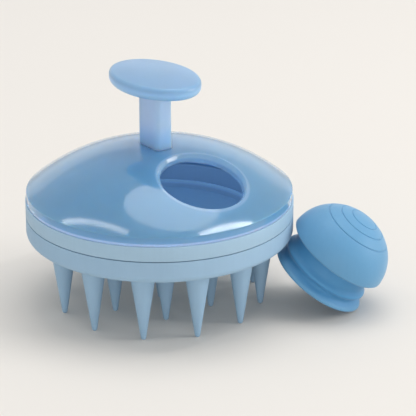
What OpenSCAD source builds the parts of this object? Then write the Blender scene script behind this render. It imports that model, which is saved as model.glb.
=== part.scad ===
// Refillable scalp massager brush, in millimetres.
// The origin is the flat tip of the centre tooth, +Z is up, and the refill port leans towards -Y.

/* [Brush body] */
// Outer radius of the dome, the collar and the tooth pad
body_r = 42.5; // [42.3:0.1:43]
// Height of the pad's underside above the tooth tips
tooth_len = 22.9; // [22.5:0.1:24]
// Height of the tooth pad's outer band
band_h = 7.1; // [7:0.1:7.5]
// Height of the collar ring above the parting line
collar_h = 4.7; // [4.6:0.1:5]
// Thickness of the tooth pad's disc
pad_t = 1.6; // [1.5:0.1:2]

/* [Reservoir dome] */
// Height of the upright wall at the dome's foot
dome_wall_h = 3; // [2.8:0.1:3.2]
// Rise of the dome above its upright wall
dome_rise = 13.9; // [13.6:0.1:14.2]
// Fullness of the dome's curve, where 2 is a parabola
dome_power = 2.45; // [2.4:0.05:2.5]
// Wall thickness of the dome
dome_t = 1.8; // [1.6:0.1:2]

/* [Refill port] */
// Radius of the port's bore
port_r = 13.1; // [13:0.1:13.3]
// Distance of the port's centre from the brush's axis
port_off = 23.4; // [23:0.1:23.8]
// Outward lean of the port's axis, in degrees
port_lean = 18.5; // [18:0.5:19]
// Depth of the port's straight bore, below its lip
port_depth = 1.6; // [1.5:0.1:2]

/* [Grip] */
// Width of the stem, across the brush
stem_w = 6; // [5.6:0.1:6.4]
// Depth of the stem, in line with the port
stem_d = 11; // [10.5:0.1:11.2]
// Height of the stem
stem_h = 19.2; // [18:0.1:21]
// Distance of the grip behind the brush's axis, away from the port
grip_off = 2; // [1.6:0.1:2.2]
// Length of the oval knob, in line with the port
knob_l = 35.8; // [35:0.2:36.4]
// Width of the oval knob
knob_w = 24.6; // [24:0.2:25.2]
// Thickness of the knob at its middle
knob_t = 5.2; // [5.1:0.1:5.4]

/* [Teeth] */
// Number of teeth in the outer ring
outer_teeth = 12; // [12:12]
// Number of teeth in the inner ring
inner_teeth = 6; // [6:6]
// Radius of the outer ring of teeth
outer_ring_r = 32.45; // [32.2:0.05:32.6]
// Radius of the inner ring of teeth
inner_ring_r = 17.65; // [17.4:0.05:17.9]
// Radius of a tooth at its root
tooth_root_r = 4.2; // [4:0.05:4.4]
// Radius of a tooth's rounded tip
tooth_tip_r = 0.85; // [0.8:0.05:1.1]

/* [Stopper] */
// Radius of the stopper's dome
stopper_r = 16.6; // [16.4:0.1:16.7]
// Height of the stopper's dome
stopper_rise = 15; // [14.8:0.1:15.2]
// Length of the stopper's neck
neck_h = 11; // [10.8:0.1:11.2]
// Radius of the flange at the end of the neck
flange_r = 16.1; // [15.9:0.1:16.2]
// Wall thickness of the stopper
stopper_t = 2.6; // [2.4:0.1:2.8]
// Lean of the loose stopper from upright, in degrees
stopper_lean = 34.8; // [34.6:0.2:35.4]

/* [Hidden] */
// Heights of the stack, from the tooth tips up
band_top = tooth_len + band_h;
parting_gap = 0.3;
collar_foot = band_top + parting_gap;
collar_top = collar_foot + collar_h;
pad_top = tooth_len + pad_t;
wall_top = collar_top + dome_wall_h;

// How far a cut runs past the faces that it opens
over = 1;

// The pad's band, and the floor plate that sits in it with room to lift out
band_round = 2.2;
band_t = 3;
band_gap = 0.35;
edge_cut = 0.3;
band_in_r = body_r - band_t;
plate_r = band_in_r - band_gap;
plate_t = 1.2;
plate_gap = 0.1;
rim_w = 2.8;
rim_rise = 2.2; // from the parting line up to the top of the floor plate's rim
rim_top = collar_foot + rim_rise;
rib_r = 33.4;
rib_w = 1.2;
rib_h = 3.7;
rib_top = pad_top + rib_h;

// The dome's skirt, and the seal between it and the floor plate's rim
skirt_inset = 5.05;
skirt_r = body_r - skirt_inset;
skirt_w = 1.85;
skirt_lift = 1.1; // room for the seal under the skirt
skirt_foot = rim_top + skirt_lift;
skirt_gap = 0.1;
seal_wire_r = 0.5;
seal_gap = 0.05;
seal_r = skirt_r - seal_wire_r - seal_gap;
seal_z = rim_top + seal_wire_r + seal_gap;
foot_bead = 0.5;
dome_steps = 22;

// The dome's flat seat, which the stem stands on
seat_r = 7.9;
seat_z = dome_z(seat_r, body_r, dome_rise);

// The port's boss and its lip
boss_w = 2;
boss_r = port_r + boss_w;
lip = 0.9;
rim_drop = 1.7; // from the dome's height at the port's centre down to the port's rim
far = 20; // half the length of the cut through the port

// The outlets through the floor plate and the pad
outlets = 6;
outlet_ring_r = 15;
outlet_r = 1.5;
valve_head_r = 2.4;
valve_head_h = 0.8;
valve_gap = 0.05;
valve_lift = 0.2; // from the pad's disc up to a valve's foot
valve_slit_r = 0.4;

stem_round = 1.6;
knob_edge_r = 2;
knob_edge_z = 2.3;
knob_seat_r = 6.2;
knob_crown = 0.8;
knob_arc = 84; // the knob's edge turns through this angle above and below its middle
knob_sides = 64;
tip_flat_r = 0.45;
tip_steps = 5;
arc_steps = 8;
small_steps = 4;

// The loose stopper stands beside the brush on the rim of its flange
stopper_place_angle = 47.2;
stopper_place_r = 56.8;
stopper_lean_angle = 45;
groove_radii = [4.6, 7.9, 11.2];
groove_r = 0.45;
neck_r = 13.7;
flange_round = 0.8;
mouth_wall = 2;
mouth_depth = 1.5; // from the dome's foot down to where the neck's bore begins
brim_w = 0.5;
brim_turn = 2;
hollow_turn = 5;
stopper_steps = 16;
// How far the neck stands out from neck_r and at what height: the flange's top, a groove, the ridge, a groove
neck_swell = [
    [2.2, -9.9], [1.8, -9.5], [0.9, -9], [0.2, -8.4], [0.1, -7.8],
    [0.4, -7.2], [1, -6.6], [1.15, -6.1], [1, -5.6], [0.5, -5],
    [0, -4.2], [-0.2, -3], [-0.3, -1.8], [-0.2, -0.9], [0.3, -0.3]
];
stopper_foot = (neck_h - flange_round) * cos(stopper_lean)
    + (flange_r - flange_round) * sin(stopper_lean) + flange_round;

function number(i) = str(i < 9 ? "0" : "", i + 1);
OUTER_TEETH = [for (i = [0 : outer_teeth - 1]) str("tooth_outer_", number(i))];
INNER_TEETH = [for (i = [0 : inner_teeth - 1]) str("tooth_inner_", number(i))];
$fn = 96;

// Points of an arc about a centre, from one angle to another
function arc(centre, r, from, to, steps = arc_steps) =
    [for (i = [0 : steps]) let (a = from + (to - from) * i / steps)
        centre + r * [cos(a), sin(a)]];

// Height of the dome's curve at radius x, for a curve that starts at radius r and rises by rise
function dome_z(x, r, rise) = wall_top + rise * (1 - pow(x / r, dome_power));

// The dome's curve from its foot to the radius x_end, closer together where it bends more
function dome_curve(r, rise, x_end) =
    [for (i = [0 : dome_steps]) let (a = 90 * i / dome_steps, x = x_end + (r - x_end) * cos(a))
        [x, dome_z(x, r, rise)]];

// Places its children with their origin at the middle of the port's rim and +Z out of the port
module at_port() {
    translate([0, -port_off, dome_z(port_off, body_r, dome_rise)]) rotate([port_lean, 0, 0])
        translate([0, 0, -rim_drop]) children();
}

module ring_of(count, r) {
    for (i = [0 : count - 1]) rotate(i * 360 / count) translate([0, -r, 0]) children();
}

// The dome's outer form as a filled profile, with a flat seat for the stem
module dome_form() {
    rotate_extrude() polygon(concat(
        [[0, collar_top], [body_r - foot_bead, collar_top]],
        arc([body_r - foot_bead, collar_top + foot_bead], foot_bead, -90, 0, small_steps),
        dome_curve(body_r, dome_rise, seat_r),
        [[0, seat_z]]
    ));
}

module dome_hollow() {
    hollow_r = body_r - dome_t;
    hollow_rise = dome_rise - dome_t;
    shelf = collar_top + dome_t;
    rotate_extrude() polygon(concat(
        [[0, shelf], [hollow_r, shelf]],
        dome_curve(hollow_r, hollow_rise, seat_r),
        [[0, dome_z(seat_r, hollow_r, hollow_rise)]]
    ));
}

module reservoir_dome() color([0.42, 0.60, 0.76, 0.8]) {
    difference() {
        union() {
            difference() {
                dome_form();
                dome_hollow();
                translate([0, 0, collar_top - over]) cylinder(r = skirt_r - skirt_w, h = dome_t + 2 * over);
            }
            translate([0, 0, skirt_foot]) difference() {
                cylinder(r = skirt_r, h = collar_top - skirt_foot + over);
                translate([0, 0, -over])
                    cylinder(r = skirt_r - skirt_w, h = collar_top - skirt_foot + 3 * over);
            }
            intersection() {
                dome_form();
                at_port() translate([0, 0, -port_depth - lip]) cylinder(r = boss_r, h = far);
            }
        }
        at_port() {
            translate([0, 0, -far]) cylinder(r = port_r, h = 2 * far);
            translate([0, 0, -lip]) cylinder(r1 = port_r, r2 = port_r + 2 * lip, h = 2 * lip);
        }
    }
}

module grip_stem() color([0.60, 0.74, 0.90]) {
    half_w = stem_w / 2 - stem_round;
    half_d = stem_d / 2 - stem_round;
    translate([0, grip_off, seat_z]) linear_extrude(stem_h) {
        square([stem_w, 2 * half_d], center = true);
        square([2 * half_w, stem_d], center = true);
        for (x = [-half_w, half_w], y = [-half_d, half_d]) translate([x, y]) circle(stem_round, $fn = 32);
    }
}

module grip_knob() color([0.58, 0.74, 0.88]) {
    long_r = knob_l / 2;
    edge_x = long_r - knob_edge_r;
    profile = concat(
        [[0, 0], [knob_seat_r, 0]],
        arc([edge_x, knob_edge_z], knob_edge_r, -knob_arc, knob_arc),
        [for (i = [1 : arc_steps]) let (x = edge_x * (1 - i / arc_steps))
            [x, knob_t - knob_crown * pow(x / long_r, 2)]]
    );
    translate([0, grip_off, seat_z + stem_h]) hull() scale([knob_w / knob_l, 1, 1])
        rotate_extrude($fn = knob_sides) polygon(profile);
}

module collar_ring() color([0.66, 0.79, 0.87]) {
    rotate_extrude() polygon([
        [plate_r + plate_gap, collar_foot],
        [body_r - edge_cut, collar_foot],
        [body_r, collar_foot + edge_cut],
        [body_r, collar_top],
        [skirt_r + skirt_gap, collar_top],
        [skirt_r + skirt_gap, rim_top],
        [plate_r + plate_gap, rim_top]
    ]);
}

module floor_plate() color([0.50, 0.66, 0.80]) {
    difference() {
        rotate_extrude() polygon([
            [0, pad_top],
            [plate_r, pad_top],
            [plate_r, rim_top],
            [plate_r - rim_w, rim_top],
            [plate_r - rim_w, pad_top + plate_t],
            [rib_r, pad_top + plate_t],
            [rib_r, rib_top],
            [rib_r - rib_w, rib_top],
            [rib_r - rib_w, pad_top + plate_t],
            [0, pad_top + plate_t]
        ]);
        ring_of(outlets, outlet_ring_r) translate([0, 0, pad_top - over])
            cylinder(r = outlet_r, h = plate_t + 2 * over);
    }
}

module dome_seal() color([0.30, 0.33, 0.36]) {
    rotate_extrude() translate([seal_r, seal_z]) circle(seal_wire_r, $fn = 24);
}

module outlet_valves() color([0.85, 0.88, 0.90]) {
    stem_r = outlet_r - valve_gap;
    head_z = plate_t - valve_lift;
    ring_of(outlets, outlet_ring_r) translate([0, 0, pad_top + valve_lift]) difference() {
        rotate_extrude() polygon([
            [0, 0],
            [stem_r, 0],
            [stem_r, head_z],
            [valve_head_r, head_z],
            [valve_head_r, head_z + valve_head_h / 2],
            [stem_r, head_z + valve_head_h],
            [0, head_z + valve_head_h]
        ]);
        translate([0, 0, -over]) cylinder(r = valve_slit_r, h = plate_t + valve_head_h + 2 * over, $fn = 24);
    }
}

module tooth_pad() color([0.66, 0.79, 0.87]) {
    difference() {
        rotate_extrude() polygon(concat(
            [[0, tooth_len]],
            arc([body_r - band_round, tooth_len + band_round], band_round, -90, 0),
            [
                [body_r, band_top - edge_cut],
                [body_r - edge_cut, band_top],
                [band_in_r, band_top],
                [band_in_r, pad_top],
                [0, pad_top]
            ]
        ));
        ring_of(outlets, outlet_ring_r) translate([0, 0, tooth_len - over])
            cylinder(r = outlet_r, h = pad_t + 2 * over);
    }
}

// One tooth about its own axis: a straight cone with a rounded tip that ends in a small flat
module tooth() color([0.64, 0.77, 0.86]) {
    tip_z = sqrt(pow(tooth_tip_r, 2) - pow(tip_flat_r, 2));
    draft = atan((tooth_root_r - tooth_tip_r) / (tooth_len - tip_z));
    rotate_extrude() polygon(concat(
        [[0, 0]],
        arc([0, tip_z], tooth_tip_r, -acos(tip_flat_r / tooth_tip_r), -draft, tip_steps),
        [[tooth_root_r, tooth_len], [0, tooth_len]]
    ));
}

module tooth_outer(i) {
    rotate((i + 0.5) * 360 / outer_teeth) translate([0, -outer_ring_r, 0]) tooth();
}

module tooth_inner(i) {
    rotate((i + 0.5) * 360 / inner_teeth) translate([0, -inner_ring_r, 0]) tooth();
}

module tooth_centre() tooth();

// The stopper's outer outline, from the flange's rim up the neck and over the dome
function stopper_outline() = concat(
    [[0, -neck_h]],
    arc([flange_r - flange_round, -neck_h + flange_round], flange_round, -90, 0, small_steps),
    [for (p = neck_swell) [neck_r + p.x, p.y]],
    [[stopper_r - brim_w, 0]],
    dome_arc(stopper_r, stopper_rise, brim_turn)
);

// A quarter of an oval, from the angle from at its foot to its crown
function dome_arc(r, rise, from) =
    [for (i = [0 : stopper_steps]) let (a = from + (90 - from) * i / stopper_steps)
        [r * cos(a), rise * sin(a)]];

module stopper() color([0.40, 0.65, 0.84]) {
    hollow_r = stopper_r - stopper_t;
    mouth_r = neck_r - mouth_wall;
    rotate(stopper_place_angle - 90) translate([stopper_place_r, 0, stopper_foot])
    rotate(stopper_lean_angle - stopper_place_angle) rotate([0, stopper_lean, 0]) difference() {
        rotate_extrude() polygon(stopper_outline());
        rotate_extrude() polygon(concat(
            [[0, -neck_h - over], [mouth_r, -neck_h - over], [mouth_r, -mouth_depth]],
            dome_arc(hollow_r, stopper_rise - stopper_t, hollow_turn)
        ));
        for (r = groove_radii)
            rotate_extrude() translate([r, stopper_rise * sqrt(1 - pow(r / stopper_r, 2))])
                circle(groove_r, $fn = 16);
    }
}

reservoir_dome();
grip_stem();
grip_knob();
collar_ring();
floor_plate();
dome_seal();
outlet_valves();
tooth_pad();
tooth_centre();
stopper();
for (i = [0 : outer_teeth - 1]) tooth_outer(i);
for (i = [0 : inner_teeth - 1]) tooth_inner(i);
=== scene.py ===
"""Refillable scalp massager brush: dome with a refill port, grip, collar, tooth pad and loose stopper."""
import math

import bpy
from bpy.props import FloatProperty, FloatVectorProperty, PointerProperty
from bpy.types import Operator, Panel, PropertyGroup
from mathutils import Matrix, Vector


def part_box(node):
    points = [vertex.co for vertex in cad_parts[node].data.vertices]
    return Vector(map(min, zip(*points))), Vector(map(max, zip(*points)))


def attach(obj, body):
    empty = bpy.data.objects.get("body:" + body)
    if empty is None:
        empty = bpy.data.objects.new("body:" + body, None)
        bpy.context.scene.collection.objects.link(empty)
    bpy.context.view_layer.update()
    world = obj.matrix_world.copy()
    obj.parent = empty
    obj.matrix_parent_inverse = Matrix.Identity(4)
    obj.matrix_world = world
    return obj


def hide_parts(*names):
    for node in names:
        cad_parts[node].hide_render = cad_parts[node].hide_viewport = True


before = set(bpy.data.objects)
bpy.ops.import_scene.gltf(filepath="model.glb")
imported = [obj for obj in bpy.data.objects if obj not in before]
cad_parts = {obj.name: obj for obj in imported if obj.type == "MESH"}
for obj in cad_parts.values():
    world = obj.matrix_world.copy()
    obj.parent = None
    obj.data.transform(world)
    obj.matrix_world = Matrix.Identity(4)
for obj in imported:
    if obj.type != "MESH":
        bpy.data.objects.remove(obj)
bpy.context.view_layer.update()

bl_info = {
    "name": "Scalp Massager Brush",
    "version": (1, 0, 0),
    "blender": (4, 5, 0),
    "location": "View3D > Sidebar > Scalp Brush",
    "description": "Builds a refillable scalp massager brush piece by piece",
    "category": "Add Mesh",
}

MM = 0.001
SMOOTH_ANGLE = math.radians(32)
ROUND_FROM = math.radians(22)
CAMERA_RIGHT = (0.8141, -0.5807, 0)
SCATTER = (0.6, 0.85, 1)
STOPPER_FLANGE, STOPPER_NECK, STOPPER_ROUNDING = 16.1 * MM, 11 * MM, 0.8 * MM
RIB_OUTER, RIB_HEIGHT = 33.4 * MM, 3.7 * MM


def low(node):
    """Lowest corner of a CAD node."""
    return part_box(node)[0]


def high(node):
    """Highest corner of a CAD node."""
    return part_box(node)[1]


def display(red, green, blue):
    """A colour given in display steps from 0 to 255, as the linear numbers that shaders use."""
    steps = [channel / 255 for channel in (red, green, blue)]
    return tuple(s / 12.92 if s <= 0.04045 else ((s + 0.055) / 1.055) ** 2.4 for s in steps)


class ScalpBrushSizes(PropertyGroup):
    """Sizes of the brush that a maker would change."""

    body_radius: FloatProperty(
        name="Body Radius", description="Outer radius of the dome, the collar and the pad",
        default=high("collar_ring").x, min=0, subtype="DISTANCE")
    wall_height: FloatProperty(
        name="Dome Wall Height", description="Height of the upright wall at the dome's foot",
        default=3 * MM, min=0, subtype="DISTANCE")
    dome_rise: FloatProperty(
        name="Dome Rise", description="Rise of the dome above its upright wall",
        default=13.9 * MM, min=0, subtype="DISTANCE")
    dome_fullness: FloatProperty(
        name="Dome Fullness", description="Fullness of the dome's curve, where 2 is a parabola",
        default=2.45, min=2, max=4)
    dome_wall: FloatProperty(
        name="Dome Thickness", description="Wall thickness of the dome",
        default=1.8 * MM, min=0, subtype="DISTANCE")
    port_radius: FloatProperty(
        name="Port Radius", description="Radius of the refill port's bore",
        default=13.1 * MM, min=0, subtype="DISTANCE")
    port_offset: FloatProperty(
        name="Port Offset", description="Distance of the port's centre from the brush's axis",
        default=23.4 * MM, min=0, subtype="DISTANCE")
    port_lean: FloatProperty(
        name="Port Lean", description="Outward lean of the port's axis",
        default=math.radians(18.5), subtype="ANGLE")
    lip: FloatProperty(
        name="Port Lip", description="Width of the sloping lip round the port",
        default=0.9 * MM, min=0, subtype="DISTANCE")
    stem_round: FloatProperty(
        name="Stem Rounding", description="Radius of the stem's four upright edges",
        default=1.6 * MM, min=0, subtype="DISTANCE")
    knob_edge: FloatProperty(
        name="Knob Edge", description="Radius of the knob's crisp upper edge",
        default=1.6 * MM, min=0, subtype="DISTANCE")
    knob_under: FloatProperty(
        name="Knob Underside Edge", description="Radius of the knob's fuller lower edge",
        default=2 * MM, min=0, subtype="DISTANCE")
    tooth_root: FloatProperty(
        name="Tooth Root", description="Radius of a tooth where it meets the pad",
        default=4.2 * MM, min=0, subtype="DISTANCE")
    tooth_tip: FloatProperty(
        name="Tooth Tip", description="Radius of a tooth's rounded tip",
        default=0.85 * MM, min=0, subtype="DISTANCE")
    stopper_radius: FloatProperty(
        name="Stopper Radius", description="Radius of the stopper's dome",
        default=16.6 * MM, min=0, subtype="DISTANCE")
    stopper_rise: FloatProperty(
        name="Stopper Rise", description="Height of the stopper's dome",
        default=15 * MM, min=0, subtype="DISTANCE")
    stopper_lean: FloatProperty(
        name="Stopper Lean", description="Lean of the loose stopper from upright",
        default=math.radians(34.8), subtype="ANGLE")
    groove: FloatProperty(
        name="Grip Groove", description="Radius of the three ring grooves on the stopper's dome",
        default=0.26 * MM, min=0, subtype="DISTANCE")


class ScalpBrushColours(PropertyGroup):
    """Colours of the brush's finishes and of its stage."""

    dome: FloatVectorProperty(
        name="Dome", description="Tint of the translucent dome",
        default=display(134, 190, 226), size=3, min=0, max=1, subtype="COLOR")
    # Painted light: a lighter colour painted on the dome's cut edges, round the port and at its foot, which
    # also get a faint painted glow.
    dome_edge_painted_light: FloatVectorProperty(
        name="Dome Edge", description="Lighter tint of the dome's cut edges, round the port and at its foot",
        default=display(190, 215, 250), size=3, min=0, max=1, subtype="COLOR")
    stem: FloatVectorProperty(
        name="Stem", description="Colour of the clear stem",
        default=display(190, 216, 244), size=3, min=0, max=1, subtype="COLOR")
    stem_foot: FloatVectorProperty(
        name="Stem Foot", description="Deeper colour of the stem where it grows from the dome",
        default=display(162, 204, 250), size=3, min=0, max=1, subtype="COLOR")
    knob: FloatVectorProperty(
        name="Knob", description="Colour of the oval knob",
        default=display(142, 181, 214), size=3, min=0, max=1, subtype="COLOR")
    # Painted light: the knob's side and underside are painted lighter, standing in for light scattered
    # through the plastic.
    knob_side_painted_light: FloatVectorProperty(
        name="Knob Side", description="Lighter colour of the knob's side and underside",
        default=display(166, 207, 246), size=3, min=0, max=1, subtype="COLOR")
    collar: FloatVectorProperty(
        name="Collar", description="Colour of the collar ring",
        default=display(158, 187, 207), size=3, min=0, max=1, subtype="COLOR")
    floor_plate: FloatVectorProperty(
        name="Floor Plate", description="Colour of the reservoir's floor",
        default=display(150, 190, 224), size=3, min=0, max=1, subtype="COLOR")
    silicone: FloatVectorProperty(
        name="Tooth Silicone", description="Colour of the pad and its teeth",
        default=display(150, 180, 203), size=3, min=0, max=1, subtype="COLOR")
    stopper: FloatVectorProperty(
        name="Stopper Silicone", description="Colour of the loose stopper",
        default=display(98, 153, 190), size=3, min=0, max=1, subtype="COLOR")
    # Painted highlight: the top of the floor plate's rib is painted lighter, where its edge would catch
    # light.
    rib: FloatVectorProperty(
        name="Floor Rib", description="Lighter colour of the thin top of the floor plate's rib",
        default=display(176, 218, 252), size=3, min=0, max=1, subtype="COLOR")
    # Painted shade: the stopper's neck is painted deeper, for the shade under its dome.
    stopper_neck_painted_shade: FloatVectorProperty(
        name="Stopper Neck", description="Deeper colour of the stopper's thick neck",
        default=display(76, 142, 187), size=3, min=0, max=1, subtype="COLOR")
    valve: FloatVectorProperty(
        name="Valve Silicone", description="Colour of the outlet valves",
        default=display(214, 222, 228), size=3, min=0, max=1, subtype="COLOR")
    seal: FloatVectorProperty(
        name="Seal", description="Colour of the silicone seal under the dome",
        default=display(140, 182, 218), size=3, min=0, max=1, subtype="COLOR")
    ground: FloatVectorProperty(
        name="Ground", description="Colour of the pale floor",
        default=display(226, 220, 212), size=3, min=0, max=1, subtype="COLOR")


class Varying:
    """A number that changes over a surface. Sums, differences and products add their Math nodes."""

    def __init__(self, finish, socket):
        self.finish = finish
        self.socket = socket

    def math(self, operation, first, second):
        return self.finish.node("ShaderNodeMath", {"operation": operation}, {0: first, 1: second})

    def __add__(self, other):
        return self.math("ADD", self, other)

    def __sub__(self, other):
        return self.math("SUBTRACT", self, other)

    def __rsub__(self, other):
        return self.math("SUBTRACT", other, self)

    def __mul__(self, other):
        return self.math("MULTIPLY", self, other)

    __radd__ = __add__
    __rmul__ = __mul__


class Finish:
    """A procedural material with one Principled shader."""

    def __init__(self, name, **constants):
        self.material = bpy.data.materials.new(name)
        self.material.use_nodes = True
        self.tree = self.material.node_tree
        self.shader = self.tree.nodes["Principled BSDF"]
        for socket, value in constants.items():
            self.shader.inputs[socket.replace("_", " ").title().replace("Ior", "IOR")].default_value = value
        self.place = self.node("ShaderNodeTexCoord", {}, {}, "Object")

    def node(self, kind, settings, inputs, output=0):
        """Adds a node, makes its settings, fills its sockets and gives one of its outputs."""
        made = self.tree.nodes.new(kind)
        for name, value in settings.items():
            setattr(made, name, value)
        for key, value in inputs.items():
            if isinstance(value, Varying):
                self.tree.links.new(value.socket, made.inputs[key])
            else:
                made.inputs[key].default_value = value
        return Varying(self, made.outputs[output])

    def noise(self, size, detail=2, stretch=(1, 1, 1)):
        """Noise whose grains are about size across, drawn out along an axis where stretch is under 1."""
        place = self.node("ShaderNodeMapping", {}, {"Vector": self.place, "Scale": stretch})
        return self.node("ShaderNodeTexNoise", {}, {"Vector": place, "Scale": 1 / size, "Detail": detail})

    def mix(self, factor, first, second):
        """A colour between two colours."""
        ends = [end if isinstance(end, Varying) else (*end, 1) for end in (first, second)]
        return self.node("ShaderNodeMix", {"data_type": "RGBA"}, {0: factor, 6: ends[0], 7: ends[1]}, 2)

    def ramp(self, value, start, end):
        """Rises smoothly from 0 to 1 as a value goes from start to end."""
        settings = {"interpolation_type": "SMOOTHSTEP"}
        return self.node("ShaderNodeMapRange", settings, {"Value": value, "From Min": start, "From Max": end})

    def from_line(self, point, direction):
        """How far a point lies from a line."""
        apart = self.node("ShaderNodeVectorMath", {"operation": "SUBTRACT"}, {0: self.place, 1: point})
        across = self.node("ShaderNodeVectorMath", {"operation": "CROSS_PRODUCT"}, {0: apart, 1: direction})
        return self.node("ShaderNodeVectorMath", {"operation": "LENGTH"}, {0: across}, 1)

    def along(self, axis):
        """How far a point lies along an axis from the origin."""
        return self.node("ShaderNodeVectorMath", {"operation": "DOT_PRODUCT"}, {0: self.place, 1: axis}, 1)

    def feed(self, socket, value):
        """Links a varying value to the shader."""
        self.tree.links.new(value.socket, self.shader.inputs[socket])

    def bump(self, height, depth):
        """Raises the surface by height times depth."""
        inputs = {"Strength": 1, "Distance": depth, "Height": height}
        self.feed("Normal", self.node("ShaderNodeBump", {}, inputs))


def shaded(colour, share):
    """The same colour made darker or lighter by a share."""
    return tuple(min(1, channel * share) for channel in colour)


def made_once(name, build):
    """The material of that name, built the first time that it is asked for."""
    return bpy.data.materials.get(name) or build(name)


def painted_edge_light_share(finish):
    """1 on the dome's cut edges, which are the port's lip and the foot of its wall: the share of painted
    light there.
    """
    place = port_place()
    bore = bpy.context.scene.scalp_brush_sizes.port_radius
    foot = high("collar_ring").z
    from_port = finish.from_line(place.translation, place.to_3x3() @ Vector((0, 0, 1)))
    at_lip = 1 - finish.ramp(from_port, bore + 1.4 * MM, bore + 2.1 * MM)
    at_foot = 1 - finish.ramp(finish.along((0, 0, 1)), foot + 0.6 * MM, foot + 1.1 * MM)
    lip_painted_light_strength = 0.4
    return lip_painted_light_strength * at_lip + at_foot


def dome_finish(name):
    """Glossy, cloudy plastic, with painted light on its cut edges: a lighter colour and a faint painted glow
    for the light that its walls gather.
    """
    colours = bpy.context.scene.scalp_brush_colours
    finish = Finish(name, transmission_weight=0.6, subsurface_weight=1, subsurface_scale=6 * MM,
                    subsurface_radius=SCATTER, ior=1.46, coat_weight=0.45, coat_roughness=0.08,
                    emission_strength=1)
    cloud = finish.noise(26 * MM, 3)
    haze = finish.noise(3.5 * MM, 4)
    # Painted highlight and painted glow on the port's lip and the dome's foot.
    edge, painted_edge_glow = painted_edge_light_share(finish), 0.15
    tint = finish.mix(cloud, shaded(colours.dome, 0.94), shaded(colours.dome, 1.06))
    finish.feed("Base Color", finish.mix(edge, tint, colours.dome_edge_painted_light))
    finish.feed("Emission Color", finish.mix(edge, (0, 0, 0), shaded(colours.dome_edge_painted_light, painted_edge_glow)))
    finish.feed("Roughness", 0.07 + 0.06 * haze)
    finish.bump(finish.noise(9 * MM, 1), 0.012 * MM)
    return finish.material


def clear_finish(name, colour, deeper=None):
    """Cloudy satin plastic that lets some light through. deeper is as in matte_finish."""
    finish = Finish(name, transmission_weight=0.25, subsurface_weight=0.8, subsurface_scale=6 * MM,
                    subsurface_radius=SCATTER, ior=1.46, coat_weight=0.15, coat_roughness=0.12)
    tint = finish.mix(finish.noise(12 * MM, 3), shaded(colour, 0.9), shaded(colour, 1.1))
    if deeper:
        second, share = deeper
        tint = finish.mix(share(finish), tint, second)
    finish.feed("Base Color", tint)
    finish.feed("Roughness", 0.25 + 0.12 * finish.noise(2 * MM, 4))
    finish.bump(finish.noise(0.5 * MM, 3), 0.006 * MM)
    return finish.material


def foot_share(finish):
    """1 at the stem's foot, fading up the stem."""
    foot = low("grip_stem").z
    return 1 - finish.ramp(finish.along((0, 0, 1)), foot + 2 * MM, foot + 9 * MM)


def stem_finish(name):
    colours = bpy.context.scene.scalp_brush_colours
    return clear_finish(name, colours.stem, deeper=(colours.stem_foot, foot_share))


def painted_side_light_share(finish):
    """1 on the knob's side and underside, which get painted light for the light scattered up through them,
    and 0 on its top.
    """
    top = high("grip_knob").z
    return 1 - finish.ramp(finish.along((0, 0, 1)), top - 3.2 * MM, top - 1.6 * MM)


def knob_finish(name):
    colours = bpy.context.scene.scalp_brush_colours
    # The knob's side and underside get painted light.
    return clear_finish(name, colours.knob, deeper=(colours.knob_side_painted_light, painted_side_light_share))


def matte_finish(name, colour, roughness, grain, depth, through, deeper=None, **constants):
    """Matte moulded plastic or silicone with a fine grain, and through it some light that scatters.

    deeper is a second colour and a function that gives its share from the finish. Where emission_strength is
    given, the tint also glows as painted light.
    """
    finish = Finish(name, subsurface_weight=through, subsurface_scale=2.5 * MM, subsurface_radius=SCATTER,
                    ior=1.42, **constants)
    cloud = finish.noise(14 * MM, 3)
    streaks = finish.noise(1.1 * MM, 3, (1, 1, 0.06))
    tint = finish.mix(cloud * 0.6 + streaks * 0.4, shaded(colour, 0.93), shaded(colour, 1.07))
    if deeper:
        second, share = deeper
        tint = finish.mix(share(finish), tint, second)
    finish.feed("Base Color", tint)
    # With emission_strength given, the tint itself glows: painted light.
    if "emission_strength" in constants:
        finish.feed("Emission Color", tint)
    finish.feed("Roughness", roughness - 0.06 + 0.12 * finish.noise(1.6 * MM, 4))
    finish.bump(finish.noise(grain, 4) * 0.7 + streaks * 0.3, depth)
    return finish.material


def collar_finish(name):
    colour = bpy.context.scene.scalp_brush_colours.collar
    return matte_finish(name, colour, 0.5, 0.35 * MM, 0.02 * MM, 0.12)


def silicone_finish(name):
    colour = bpy.context.scene.scalp_brush_colours.silicone
    return matte_finish(name, colour, 0.62, 0.3 * MM, 0.025 * MM, 0.2)


def stopper_place():
    """The place of the loose stopper, with Z out of its dome and its origin where the neck begins."""
    lean = bpy.context.scene.scalp_brush_sizes.stopper_lean
    rounding = STOPPER_ROUNDING
    height = ((STOPPER_NECK - rounding) * math.cos(lean) + (STOPPER_FLANGE - rounding) * math.sin(lean)
              + rounding)
    around, stand_off = math.radians(47.2 - 90), 56.8 * MM
    facing = math.radians(45 - 90)
    return (Matrix.Translation((stand_off * math.cos(around), stand_off * math.sin(around), height))
            @ Matrix.Rotation(facing, 4, "Z") @ Matrix.Rotation(lean, 4, "Y"))


def painted_neck_shade_share(finish):
    """Share of the painted shade: 1 on the stopper's neck, which lies in the shade of its dome, and 0 on its
    dome and on its flange's rim.
    """
    place = stopper_place()
    axis = place.to_3x3() @ Vector((0, 0, 1))
    height = finish.along(axis) - place.translation.dot(axis)
    rim_top, neck_foot = -10 * MM, -8.6 * MM
    neck_top, dome_foot = -0.6 * MM, 0.1 * MM
    return finish.ramp(height, rim_top, neck_foot) * (1 - finish.ramp(height, neck_top, dome_foot))


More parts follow.
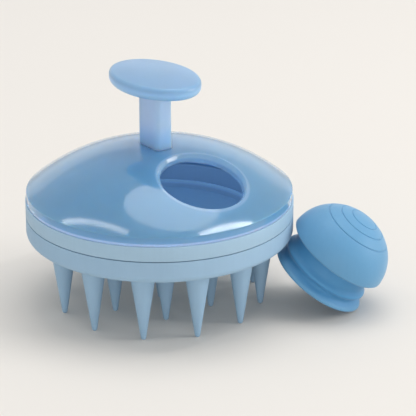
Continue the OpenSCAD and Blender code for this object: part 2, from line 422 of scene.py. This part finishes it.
def stopper_finish(name):
    colours = bpy.context.scene.scalp_brush_colours
    # The stopper's neck gets painted shade.
    return matte_finish(name, colours.stopper, 0.5, 0.3 * MM, 0.02 * MM, 0.3,
                        deeper=(colours.stopper_neck_painted_shade, painted_neck_shade_share), sheen_weight=0.2, sheen_roughness=0.4)


def valve_finish(name):
    colour = bpy.context.scene.scalp_brush_colours.valve
    return matte_finish(name, colour, 0.6, 0.25 * MM, 0.015 * MM, 0.2)


def seal_finish(name):
    colour = bpy.context.scene.scalp_brush_colours.seal
    return matte_finish(name, colour, 0.7, 0.2 * MM, 0.015 * MM, 0)


def painted_rib_highlight_share(finish):
    """Share of the painted highlight: 1 on the top of the floor plate's rib, and 0 below it and on the
    plate's rim.
    """
    rib_top = low("floor_plate").z + RIB_HEIGHT
    from_axis = finish.from_line((0, 0, 0), (0, 0, 1))
    top = finish.ramp(finish.along((0, 0, 1)), rib_top - 1.6 * MM, rib_top - 0.3 * MM)
    return top * (1 - finish.ramp(from_axis, RIB_OUTER + 0.1 * MM, RIB_OUTER + 0.5 * MM))


def plate_finish(name):
    """The cloudy floor plate, with a painted glow that stands in for the light that its own walls let in."""
    colours = bpy.context.scene.scalp_brush_colours
    # A faint painted glow of 0.11, and a painted highlight on the rib's top.
    return matte_finish(name, colours.floor_plate, 0.4, 0.6 * MM, 0.008 * MM, 0.05,
                        deeper=(colours.rib, painted_rib_highlight_share), emission_strength=0.11)


def ground_finish(name):
    colour = bpy.context.scene.scalp_brush_colours.ground
    finish = Finish(name, ior=1.3)
    finish.feed("Base Color", finish.mix(finish.noise(0.5, 2), shaded(colour, 0.99), shaded(colour, 1.01)))
    finish.feed("Roughness", 0.82 + 0.06 * finish.noise(0.02, 3))
    return finish.material


def leave_all():
    """Leaves edit mode with nothing selected."""
    if bpy.context.object and bpy.context.object.mode != "OBJECT":
        bpy.ops.object.mode_set(mode="OBJECT")
    bpy.ops.object.select_all(action="DESELECT")


def take(piece):
    """Selects one piece and makes it the active one."""
    leave_all()
    piece.select_set(True)
    bpy.context.view_layer.objects.active = piece


def set_in_place(piece, matrix=Matrix()):
    """Moves a piece by a matrix and puts its place in its mesh."""
    take(piece)
    piece.matrix_world = matrix @ piece.matrix_world
    bpy.ops.object.transform_apply(location=True, rotation=True, scale=True)


def draw_out(radius, to_radius, rise):
    """Extrudes the selected ring upwards by rise and widens it to a new radius."""
    bpy.ops.mesh.extrude_edges_move(TRANSFORM_OT_translate={"value": (0, 0, rise)})
    if to_radius:
        scale = to_radius / radius
        bpy.ops.transform.resize(value=(scale, scale, 1), center_override=(0, 0, 0))
    else:
        bpy.ops.mesh.merge(type="CENTER")


def turned(name, outline, segments):
    """A closed piece turned about Z: a ring drawn out along an outline of radius and height pairs.

    An outline that starts or ends on the axis is closed there by a pole. Any other runs back to its start.
    """
    starts_on_axis = not outline[0][0]
    ends_on_axis = not outline[-1][0]
    rings = outline[1:] if starts_on_axis else list(outline)
    if not (starts_on_axis or ends_on_axis):
        rings = rings + [rings[0]]
    leave_all()
    first_radius, first_height = rings[0]
    bpy.ops.mesh.primitive_circle_add(vertices=segments, radius=first_radius, location=(0, 0, first_height))
    piece = bpy.context.object
    piece.name = piece.data.name = name
    set_in_place(piece)
    bpy.ops.object.mode_set(mode="EDIT")
    bpy.ops.mesh.select_mode(type="EDGE")
    if starts_on_axis:
        bpy.ops.mesh.select_all(action="SELECT")
        draw_out(rings[0][0], 0, outline[0][1] - rings[0][1])
        select_ring(piece, *rings[0])
    else:
        bpy.ops.mesh.select_all(action="SELECT")
    for (radius, height), (to_radius, to_height) in zip(rings, rings[1:]):
        draw_out(radius, to_radius, to_height - height)
    bpy.ops.mesh.select_all(action="SELECT")
    bpy.ops.mesh.remove_doubles(threshold=0.002 * MM)
    bpy.ops.mesh.normals_make_consistent(inside=False)
    bpy.ops.object.mode_set(mode="OBJECT")
    return piece


def select_ring(piece, radius, height):
    """Selects the edges of the ring at a radius and height."""
    bpy.ops.mesh.select_mode(type="VERT")
    bpy.ops.mesh.select_all(action="DESELECT")
    bpy.ops.object.mode_set(mode="OBJECT")
    for vertex in piece.data.vertices:
        apart = math.hypot(math.hypot(vertex.co.x, vertex.co.y) - radius, vertex.co.z - height)
        vertex.select = apart < 0.005 * MM
    bpy.ops.object.mode_set(mode="EDIT")
    bpy.ops.mesh.select_mode(type="EDGE")


def softened(outline, radius, steps=4):
    """A closed outline with its sharp corners rounded, except for corners on the axis."""
    rounded = []
    for i, corner in enumerate(outline):
        here = Vector(corner)
        before = Vector(outline[i - 1]) - here
        after = Vector(outline[(i + 1) % len(outline)]) - here
        if here.x == 0 or math.pi - before.angle(after, math.pi) < ROUND_FROM:
            rounded.append(corner)
            continue
        first = here + before.normalized() * min(radius, 0.45 * before.length)
        last = here + after.normalized() * min(radius, 0.45 * after.length)
        for step in range(steps + 1):
            t = step / steps
            point = first * (1 - t) ** 2 + here * 2 * t * (1 - t) + last * t ** 2
            rounded.append((point.x, point.y))
    return rounded


def arc(x, z, radius, start, end, steps):
    """Points of an arc about a centre, between two angles in degrees."""
    angles = [math.radians(start + (end - start) * i / steps) for i in range(steps + 1)]
    return [(x + radius * math.cos(a), z + radius * math.sin(a)) for a in angles]


def join_by(piece, tool, operation):
    """Joins a piece and a tool shape by a Boolean, and puts the tool away."""
    take(piece)
    modifier = piece.modifiers.new(operation.title(), "BOOLEAN")
    modifier.operation = operation
    modifier.solver = "EXACT"
    modifier.object = tool
    bpy.ops.object.modifier_apply(modifier=modifier.name)
    bpy.data.objects.remove(tool, do_unlink=True)


def drill_outlets(piece, height):
    """Drills the ring of outlets through a disc whose middle is at a height."""
    outlets, ring, radius = 6, 15 * MM, 1.5 * MM
    for i in range(outlets):
        angle = 2 * math.pi * i / outlets
        leave_all()
        bpy.ops.mesh.primitive_cylinder_add(
            vertices=32, radius=radius, depth=4 * MM,
            location=(ring * math.sin(angle), -ring * math.cos(angle), height))
        join_by(piece, bpy.context.object, "DIFFERENCE")


def complete(piece, body, slot, material, *nodes):
    """Shades a piece, gives it its finish and says what it rides on and which CAD nodes it stands for."""
    if not piece.data.polygons:
        raise RuntimeError(piece.name + " came out empty")
    take(piece)
    bpy.ops.object.shade_smooth_by_angle(angle=SMOOTH_ANGLE)
    piece.data.materials.clear()
    piece.data.materials.append(material)
    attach(piece, body)
    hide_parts(*nodes)
    leave_all()


def dress(node, material):
    """Gives a CAD node a new finish."""
    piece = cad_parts[node]
    for slot in piece.material_slots:
        slot.material = material


def dome_height(radius, foot_radius, rise):
    """Height of the dome's curve at a radius, for a curve that starts at its foot radius."""
    sizes = bpy.context.scene.scalp_brush_sizes
    wall_top = high("collar_ring").z + sizes.wall_height
    return wall_top + rise * (1 - (radius / foot_radius) ** sizes.dome_fullness)


def dome_curve(foot_radius, rise, end_radius, steps=56):
    """The dome's curve from its foot inwards, with its points closer together near the foot."""
    span = foot_radius - end_radius
    radii = [end_radius + span * math.cos(math.pi / 2 * i / steps) for i in range(steps + 1)]
    return [(radius, dome_height(radius, foot_radius, rise)) for radius in radii]


def port_place():
    """The place of the port's rim, with Z out of the port."""
    sizes = bpy.context.scene.scalp_brush_sizes
    rim_drop = 1.7 * MM
    height = dome_height(sizes.port_offset, sizes.body_radius, sizes.dome_rise)
    at_dome = Matrix.Translation((0, -sizes.port_offset, height))
    return at_dome @ Matrix.Rotation(sizes.port_lean, 4, "X") @ Matrix.Translation((0, 0, -rim_drop))


class SCALPBRUSH_OT_dome(Operator):
    """Add the hollow translucent dome with its skirt and its refill port"""

    bl_idname = "scalp_brush.dome"
    bl_label = "Reservoir Dome"

    def execute(self, context):
        sizes = context.scene.scalp_brush_sizes
        body, wall = sizes.body_radius, sizes.dome_wall
        foot = high("collar_ring").z
        skirt_outer, skirt_inner = body - 5.05 * MM, body - 6.9 * MM
        skirt_foot = low("reservoir_dome").z
        crown_flat = 7.9 * MM
        ledge, bead = 0.35 * MM, 0.2 * MM
        outer = body - ledge
        inner, inner_rise = body - wall, sizes.dome_rise - wall
        inside = dome_curve(inner, inner_rise, crown_flat)[::-1]
        outside = dome_curve(outer, sizes.dome_rise, crown_flat)
        skirt = softened([
            (inner, foot + wall), (skirt_inner, foot + wall), (skirt_inner, skirt_foot),
            (skirt_outer, skirt_foot), (skirt_outer, foot), (outer - bead, foot),
        ], 0.2 * MM)
        outline = [(0, inside[0][1])] + inside + skirt[1:-1] + arc(outer - bead, foot + bead, bead, -90, 0, 6)
        dome = turned("dome", outline + outside + [(0, outside[-1][1])], 192)

        bore, lip = sizes.port_radius, sizes.lip
        reach = 6 * MM
        boss_foot, boss_top = -2.5 * MM, -MM
        boss = turned("boss", [
            (bore - MM, boss_foot), (bore + 2 * MM, boss_foot),
            (bore + 2 * MM, boss_top), (bore - MM, boss_top),
        ], 128)
        set_in_place(boss, port_place())
        join_by(dome, boss, "UNION")
        cutter = turned("bore", [(0, -reach)] + softened([
            (bore, -reach), (bore, -lip), (bore + 2 * lip, lip), (bore + 2 * lip, reach),
        ], 0.35 * MM, 5)[1:-1] + [(0, reach)], 128)
        set_in_place(cutter, port_place())
        join_by(dome, cutter, "DIFFERENCE")
        complete(dome, "reservoir", "dome_plastic", made_once("Dome Plastic", dome_finish), "reservoir_dome")
        return {"FINISHED"}


class SCALPBRUSH_OT_grip(Operator):
    """Add the upright stem and the oval knob on top of it"""

    bl_idname = "scalp_brush.grip"
    bl_label = "Stem and Knob"

    def execute(self, context):
        sizes = context.scene.scalp_brush_sizes
        foot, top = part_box("grip_stem")
        leave_all()
        bpy.ops.mesh.primitive_cube_add(size=1, location=(foot + top) / 2, scale=top - foot)
        stem = context.object
        stem.name = stem.data.name = "stem"
        set_in_place(stem)
        bpy.ops.object.mode_set(mode="EDIT")
        bpy.ops.mesh.select_mode(type="EDGE")
        bpy.ops.mesh.select_all(action="DESELECT")
        bpy.ops.object.mode_set(mode="OBJECT")
        for edge in stem.data.edges:
            ends = [stem.data.vertices[i].co for i in edge.vertices]
            edge.select = abs(ends[0].z - ends[1].z) > sizes.stem_round
        bpy.ops.object.mode_set(mode="EDIT")
        bpy.ops.mesh.bevel(offset=sizes.stem_round, segments=8)
        bpy.ops.object.mode_set(mode="OBJECT")
        complete(stem, "reservoir", "grip_plastic", made_once("Stem Plastic", stem_finish), "grip_stem")

        foot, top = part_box("grip_knob")
        long_radius = (top.y - foot.y) / 2
        across = (top.x - foot.x) / (top.y - foot.y)
        thick, crown = top.z - foot.z, 0.9 * MM
        edge, under = sizes.knob_edge, sizes.knob_under
        rim, flat_under, side_lift = long_radius - edge, 6.2 * MM, 0.3 * MM
        rim_height = thick - crown * (rim / long_radius) ** 2
        steps = 24
        outline = [(0, 0), (flat_under, 0)] + arc(long_radius - under, under + side_lift, under, -84, 0, 12)
        outline += arc(rim, rim_height - edge, edge, 0, 86, 10)
        for i in range(1, steps):
            radius = rim * (1 - i / steps)
            outline.append((radius, thick - crown * (radius / long_radius) ** 2))
        knob = turned("knob", outline + [(0, thick)], 160)
        stretch = Matrix.Diagonal((across, 1, 1, 1))
        set_in_place(knob, Matrix.Translation((0, (foot.y + top.y) / 2, foot.z)) @ stretch)
        complete(knob, "reservoir", "grip_plastic", made_once("Knob Plastic", knob_finish), "grip_knob")
        return {"FINISHED"}


class SCALPBRUSH_OT_collar(Operator):
    """Add the matte collar ring under the dome"""

    bl_idname = "scalp_brush.collar"
    bl_label = "Collar Ring"

    def execute(self, context):
        foot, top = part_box("collar_ring")
        body = context.scene.scalp_brush_sizes.body_radius
        inner, step_radius = body - 3.25 * MM, body - 4.95 * MM
        step_height = foot.z + 2.2 * MM
        collar = turned("collar", softened([
            (inner, foot.z), (body, foot.z), (body, top.z), (step_radius, top.z),
            (step_radius, step_height), (inner, step_height),
        ], 0.08 * MM, 3), 192)
        complete(collar, "reservoir", "collar_plastic",
                 made_once("Collar Plastic", collar_finish), "collar_ring")
        return {"FINISHED"}


class SCALPBRUSH_OT_inside(Operator):
    """Add the floor plate with its raised rib, and give the seal and the outlet valves their finishes"""

    bl_idname = "scalp_brush.inside"
    bl_label = "Floor Plate, Seal and Valves"

    def execute(self, context):
        foot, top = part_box("floor_plate")
        rim_inner, floor = top.x - 2.8 * MM, foot.z + 1.2 * MM
        rib_inner, rib_top = 32.2 * MM, foot.z + RIB_HEIGHT
        plate = turned("plate", softened([
            (0, foot.z), (top.x, foot.z), (top.x, top.z), (rim_inner, top.z), (rim_inner, floor),
            (RIB_OUTER, floor), (RIB_OUTER, rib_top), (rib_inner, rib_top), (rib_inner, floor), (0, floor),
        ], 0.55 * MM, 6), 192)
        drill_outlets(plate, (foot.z + floor) / 2)
        complete(plate, "reservoir", "floor_plastic", made_once("Floor Plastic", plate_finish), "floor_plate")
        dress("dome_seal", made_once("Seal Silicone", seal_finish))
        dress("outlet_valves", made_once("Valve Silicone", valve_finish))
        return {"FINISHED"}


class SCALPBRUSH_OT_pad(Operator):
    """Add the round tooth pad with its outer band and its outlets"""

    bl_idname = "scalp_brush.pad"
    bl_label = "Tooth Pad"

    def execute(self, context):
        body = context.scene.scalp_brush_sizes.body_radius
        foot, top = low("tooth_pad").z, high("tooth_pad").z
        rounding = 2.2 * MM
        inner = body - 3 * MM
        disc_top = foot + 1.6 * MM
        outline = softened(
            [(0, foot)] + arc(body - rounding, foot + rounding, rounding, -90, 0, 16)
            + [(body, top), (inner, top), (inner, disc_top), (0, disc_top)], 0.08 * MM, 3)
        pad = turned("pad", outline, 192)
        drill_outlets(pad, (foot + disc_top) / 2)
        complete(pad, "pad", "pad_silicone", made_once("Tooth Silicone", silicone_finish), "tooth_pad")
        return {"FINISHED"}


class SCALPBRUSH_OT_teeth(Operator):
    """Add the centre tooth and copy it to the inner and the outer ring"""

    bl_idname = "scalp_brush.teeth"
    bl_label = "Teeth"

    def execute(self, context):
        sizes = context.scene.scalp_brush_sizes
        material = made_once("Tooth Silicone", silicone_finish)
        length = high("tooth_centre").z
        root, tip = sizes.tooth_root, sizes.tooth_tip
        flat = 0.45 * MM
        tip_height = math.sqrt(tip ** 2 - flat ** 2)
        draft = math.atan((root - tip) / (length - tip_height))
        start = -math.degrees(math.acos(flat / tip))
        tip_points = arc(0, tip_height, tip, start, -math.degrees(draft), 10)
        foot_point, wall_steps = tip_points[-1], 10
        wall = [(foot_point[0] + (root - foot_point[0]) * i / wall_steps,
                 foot_point[1] + (length - foot_point[1]) * i / wall_steps) for i in range(1, wall_steps + 1)]
        tooth = turned("tooth_centre_moulded", [(0, 0)] + tip_points + wall + [(0, length)], 48)
        nodes = sorted(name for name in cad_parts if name.startswith(("tooth_outer", "tooth_inner")))
        for node in nodes:
            corner_low, corner_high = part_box(node)
            middle = (corner_low + corner_high) / 2
            take(tooth)
            bpy.ops.object.duplicate()
            copy = context.object
            copy.name = copy.data.name = node + "_moulded"
            set_in_place(copy, Matrix.Translation((middle.x, middle.y, 0)))
            complete(copy, "pad", "pad_silicone", material, node)
        complete(tooth, "pad", "pad_silicone", material, "tooth_centre")
        return {"FINISHED"}


class SCALPBRUSH_OT_stopper(Operator):
    """Add the hollow silicone stopper, which leans on its flange beside the brush"""

    bl_idname = "scalp_brush.stopper"
    bl_label = "Stopper"

    def outline(self, sizes):
        radius, rise, groove = sizes.stopper_radius, sizes.stopper_rise, sizes.groove
        rounding = STOPPER_ROUNDING
        grooves_at = (11.2 * MM, 7.9 * MM, 4.6 * MM)
        corner = arc(STOPPER_FLANGE - rounding, -STOPPER_NECK + rounding, rounding, -90, 0, 8)
        knots = [Vector((out * MM, up * MM)) for out, up in (
            (16.1, -10.2), (15.9, -9.9), (15.5, -9.5), (14.6, -9), (13.9, -8.4), (13.8, -7.8), (14.1, -7.2),
            (14.7, -6.6), (14.85, -6.1), (14.7, -5.6), (14.2, -5), (13.7, -4.2), (13.5, -3), (13.4, -1.8),
            (13.5, -0.9), (14, -0.3), (radius / MM - 0.5, 0))]
        points = corner[:-1]
        between = 4
        for i in range(len(knots) - 1):
            start, end = knots[i], knots[i + 1]
            start_pull = (end - knots[max(i - 1, 0)]) / 2
            end_pull = (knots[min(i + 2, len(knots) - 1)] - start) / 2
            for step in range(between):
                t = step / between
                point = (start * (2 * t ** 3 - 3 * t ** 2 + 1) + start_pull * (t ** 3 - 2 * t ** 2 + t)
                         + end * (3 * t ** 2 - 2 * t ** 3) + end_pull * (t ** 3 - t ** 2))
                points.append((point.x, point.y))
        points.append(tuple(knots[-1]))
        steps = 220
        for i in range(steps):
            angle = math.radians(2 + 88 * i / steps)
            point = Vector((radius * math.cos(angle), rise * math.sin(angle)))
            for groove_at in grooves_at:
                centre = Vector((groove_at, rise * math.sqrt(1 - (groove_at / radius) ** 2)))
                away = (point - centre).length / groove
                if away < 1:
                    inward = -Vector((centre.x / radius ** 2, centre.y / rise ** 2)).normalized()
                    point = point + inward * groove * math.sqrt(1 - away ** 2)
            points.append((point.x, point.y))
        return points + [(0, rise)]

    def execute(self, context):
        sizes = context.scene.scalp_brush_sizes
        thick = 2.6 * MM
        mouth, mouth_top, mouth_edge = 11.7 * MM, -1.5 * MM, 0.3 * MM
        inner, inner_rise = sizes.stopper_radius - thick, sizes.stopper_rise - thick
        hollow_steps = 24
        hollow = []
        for i in range(hollow_steps):
            angle = math.radians(5 + 85 * i / hollow_steps)
            hollow.append((inner * math.cos(angle), inner_rise * math.sin(angle)))
        mouth_points = [
            (mouth, mouth_top), (mouth, -STOPPER_NECK + mouth_edge), (mouth + mouth_edge, -STOPPER_NECK)]
        outline = [(0, inner_rise)] + hollow[::-1] + mouth_points + self.outline(sizes)
        stopper = turned("stopper_cap", outline, 128)
        within_box = 0.9985
        set_in_place(stopper, stopper_place() @ Matrix.Scale(within_box, 4))
        complete(stopper, "stopper", "stopper_silicone",
                 made_once("Stopper Silicone", stopper_finish), "stopper")
        return {"FINISHED"}


def softbox(name, towards, distance, width, height, power, shape="RECTANGLE", roll=0):
    """Adds a soft light that stands off from the brush and faces it, rolled about its own axis."""
    aim, out = Vector((0, 0, 0.03)), Vector(towards).normalized()
    side = Vector(CAMERA_RIGHT)
    side = (side - out * side.dot(out)).normalized()
    facing = Matrix((side, out.cross(side), out)).transposed()
    turn = facing @ Matrix.Rotation(math.radians(roll), 3, "Z")
    leave_all()
    bpy.ops.object.light_add(type="AREA", location=aim + out * distance, rotation=turn.to_euler())
    lamp = bpy.context.object
    lamp.name = lamp.data.name = name
    lamp.data.shape = shape
    lamp.data.size, lamp.data.size_y = width, height
    lamp.data.energy = power


class SCALPBRUSH_OT_stage(Operator):
    """Add the pale floor, the soft lights and the camera"""

    bl_idname = "scalp_brush.stage"
    bl_label = "Stage"

    def execute(self, context):
        leave_all()
        bpy.ops.mesh.primitive_plane_add(size=6)
        ground = context.object
        ground.name = ground.data.name = "ground"
        ground.data.materials.append(made_once("Ground", ground_finish))

        softbox("overhead_light", (0.19, 0.1, 0.97), 1.1, 0.84, 0.76, 3.8, "ELLIPSE")
        softbox("left_strip", (-0.4, 0.42, 1), 1.1, 0.05, 0.75, 0.65, roll=45)
        softbox("right_strip", (0.52, -0.3, 1), 1.1, 0.05, 0.6, 1.15, roll=-45)
        softbox("back_light", (0.55, 0.8, 0.2), 1.5, 1.8, 0.5, 0.9)
        softbox("right_light", (0.75, -0.6, 0.3), 1.2, 0.5, 0.5, 5.2)
        softbox("left_light", (-0.9, -0.35, 0.3), 1.2, 0.5, 0.6, 0.15)
        softbox("front_fill", (-0.54, -0.75, 0.12), 1.3, 0.7, 0.3, 2.4)

        world = bpy.data.worlds.new("soft_daylight")
        world.use_nodes = True
        world.node_tree.nodes["Background"].inputs["Color"].default_value = (0.93, 0.96, 1, 1)
        world.node_tree.nodes["Background"].inputs["Strength"].default_value = 0.72
        context.scene.world = world
        context.scene.view_settings.view_transform = "Standard"

        place, target = Vector((-0.36887, -0.51713, 0.28350)), Vector((0.01481, -0.00585, 0.02924))
        leave_all()
        facing = (target - place).to_track_quat("-Z", "Y").to_euler()
        bpy.ops.object.camera_add(location=place, rotation=facing)
        camera = context.object
        camera.data.lens = 185.98
        camera.data.sensor_width = 36
        camera.data.clip_start = 0.01
        camera.data.dof.use_dof = False
        context.scene.camera = camera
        return {"FINISHED"}


PIECES = (
    SCALPBRUSH_OT_dome, SCALPBRUSH_OT_grip, SCALPBRUSH_OT_collar, SCALPBRUSH_OT_inside, SCALPBRUSH_OT_pad,
    SCALPBRUSH_OT_teeth, SCALPBRUSH_OT_stopper, SCALPBRUSH_OT_stage,
)


class SCALPBRUSH_PT_pieces(Panel):
    """Lists the brush's pieces, sizes and colours"""

    bl_idname = "SCALPBRUSH_PT_pieces"
    bl_label = "Scalp Brush"
    bl_space_type = "VIEW_3D"
    bl_region_type = "UI"
    bl_category = "Scalp Brush"

    def draw(self, context):
        for piece in PIECES:
            self.layout.operator(piece.bl_idname)
        for group in (context.scene.scalp_brush_sizes, context.scene.scalp_brush_colours):
            box = self.layout.box()
            for field in group.__annotations__:
                box.prop(group, field)


CLASSES = (ScalpBrushSizes, ScalpBrushColours, *PIECES, SCALPBRUSH_PT_pieces)


def register():
    for cls in CLASSES:
        bpy.utils.register_class(cls)
    bpy.types.Scene.scalp_brush_sizes = PointerProperty(type=ScalpBrushSizes)
    bpy.types.Scene.scalp_brush_colours = PointerProperty(type=ScalpBrushColours)


def unregister():
    del bpy.types.Scene.scalp_brush_colours
    del bpy.types.Scene.scalp_brush_sizes
    for cls in reversed(CLASSES):
        bpy.utils.unregister_class(cls)


def main():
    register()
    for piece in PIECES:
        group, name = piece.bl_idname.split(".")
        getattr(getattr(bpy.ops, group), name)()


if __name__ == "__main__":
    main()
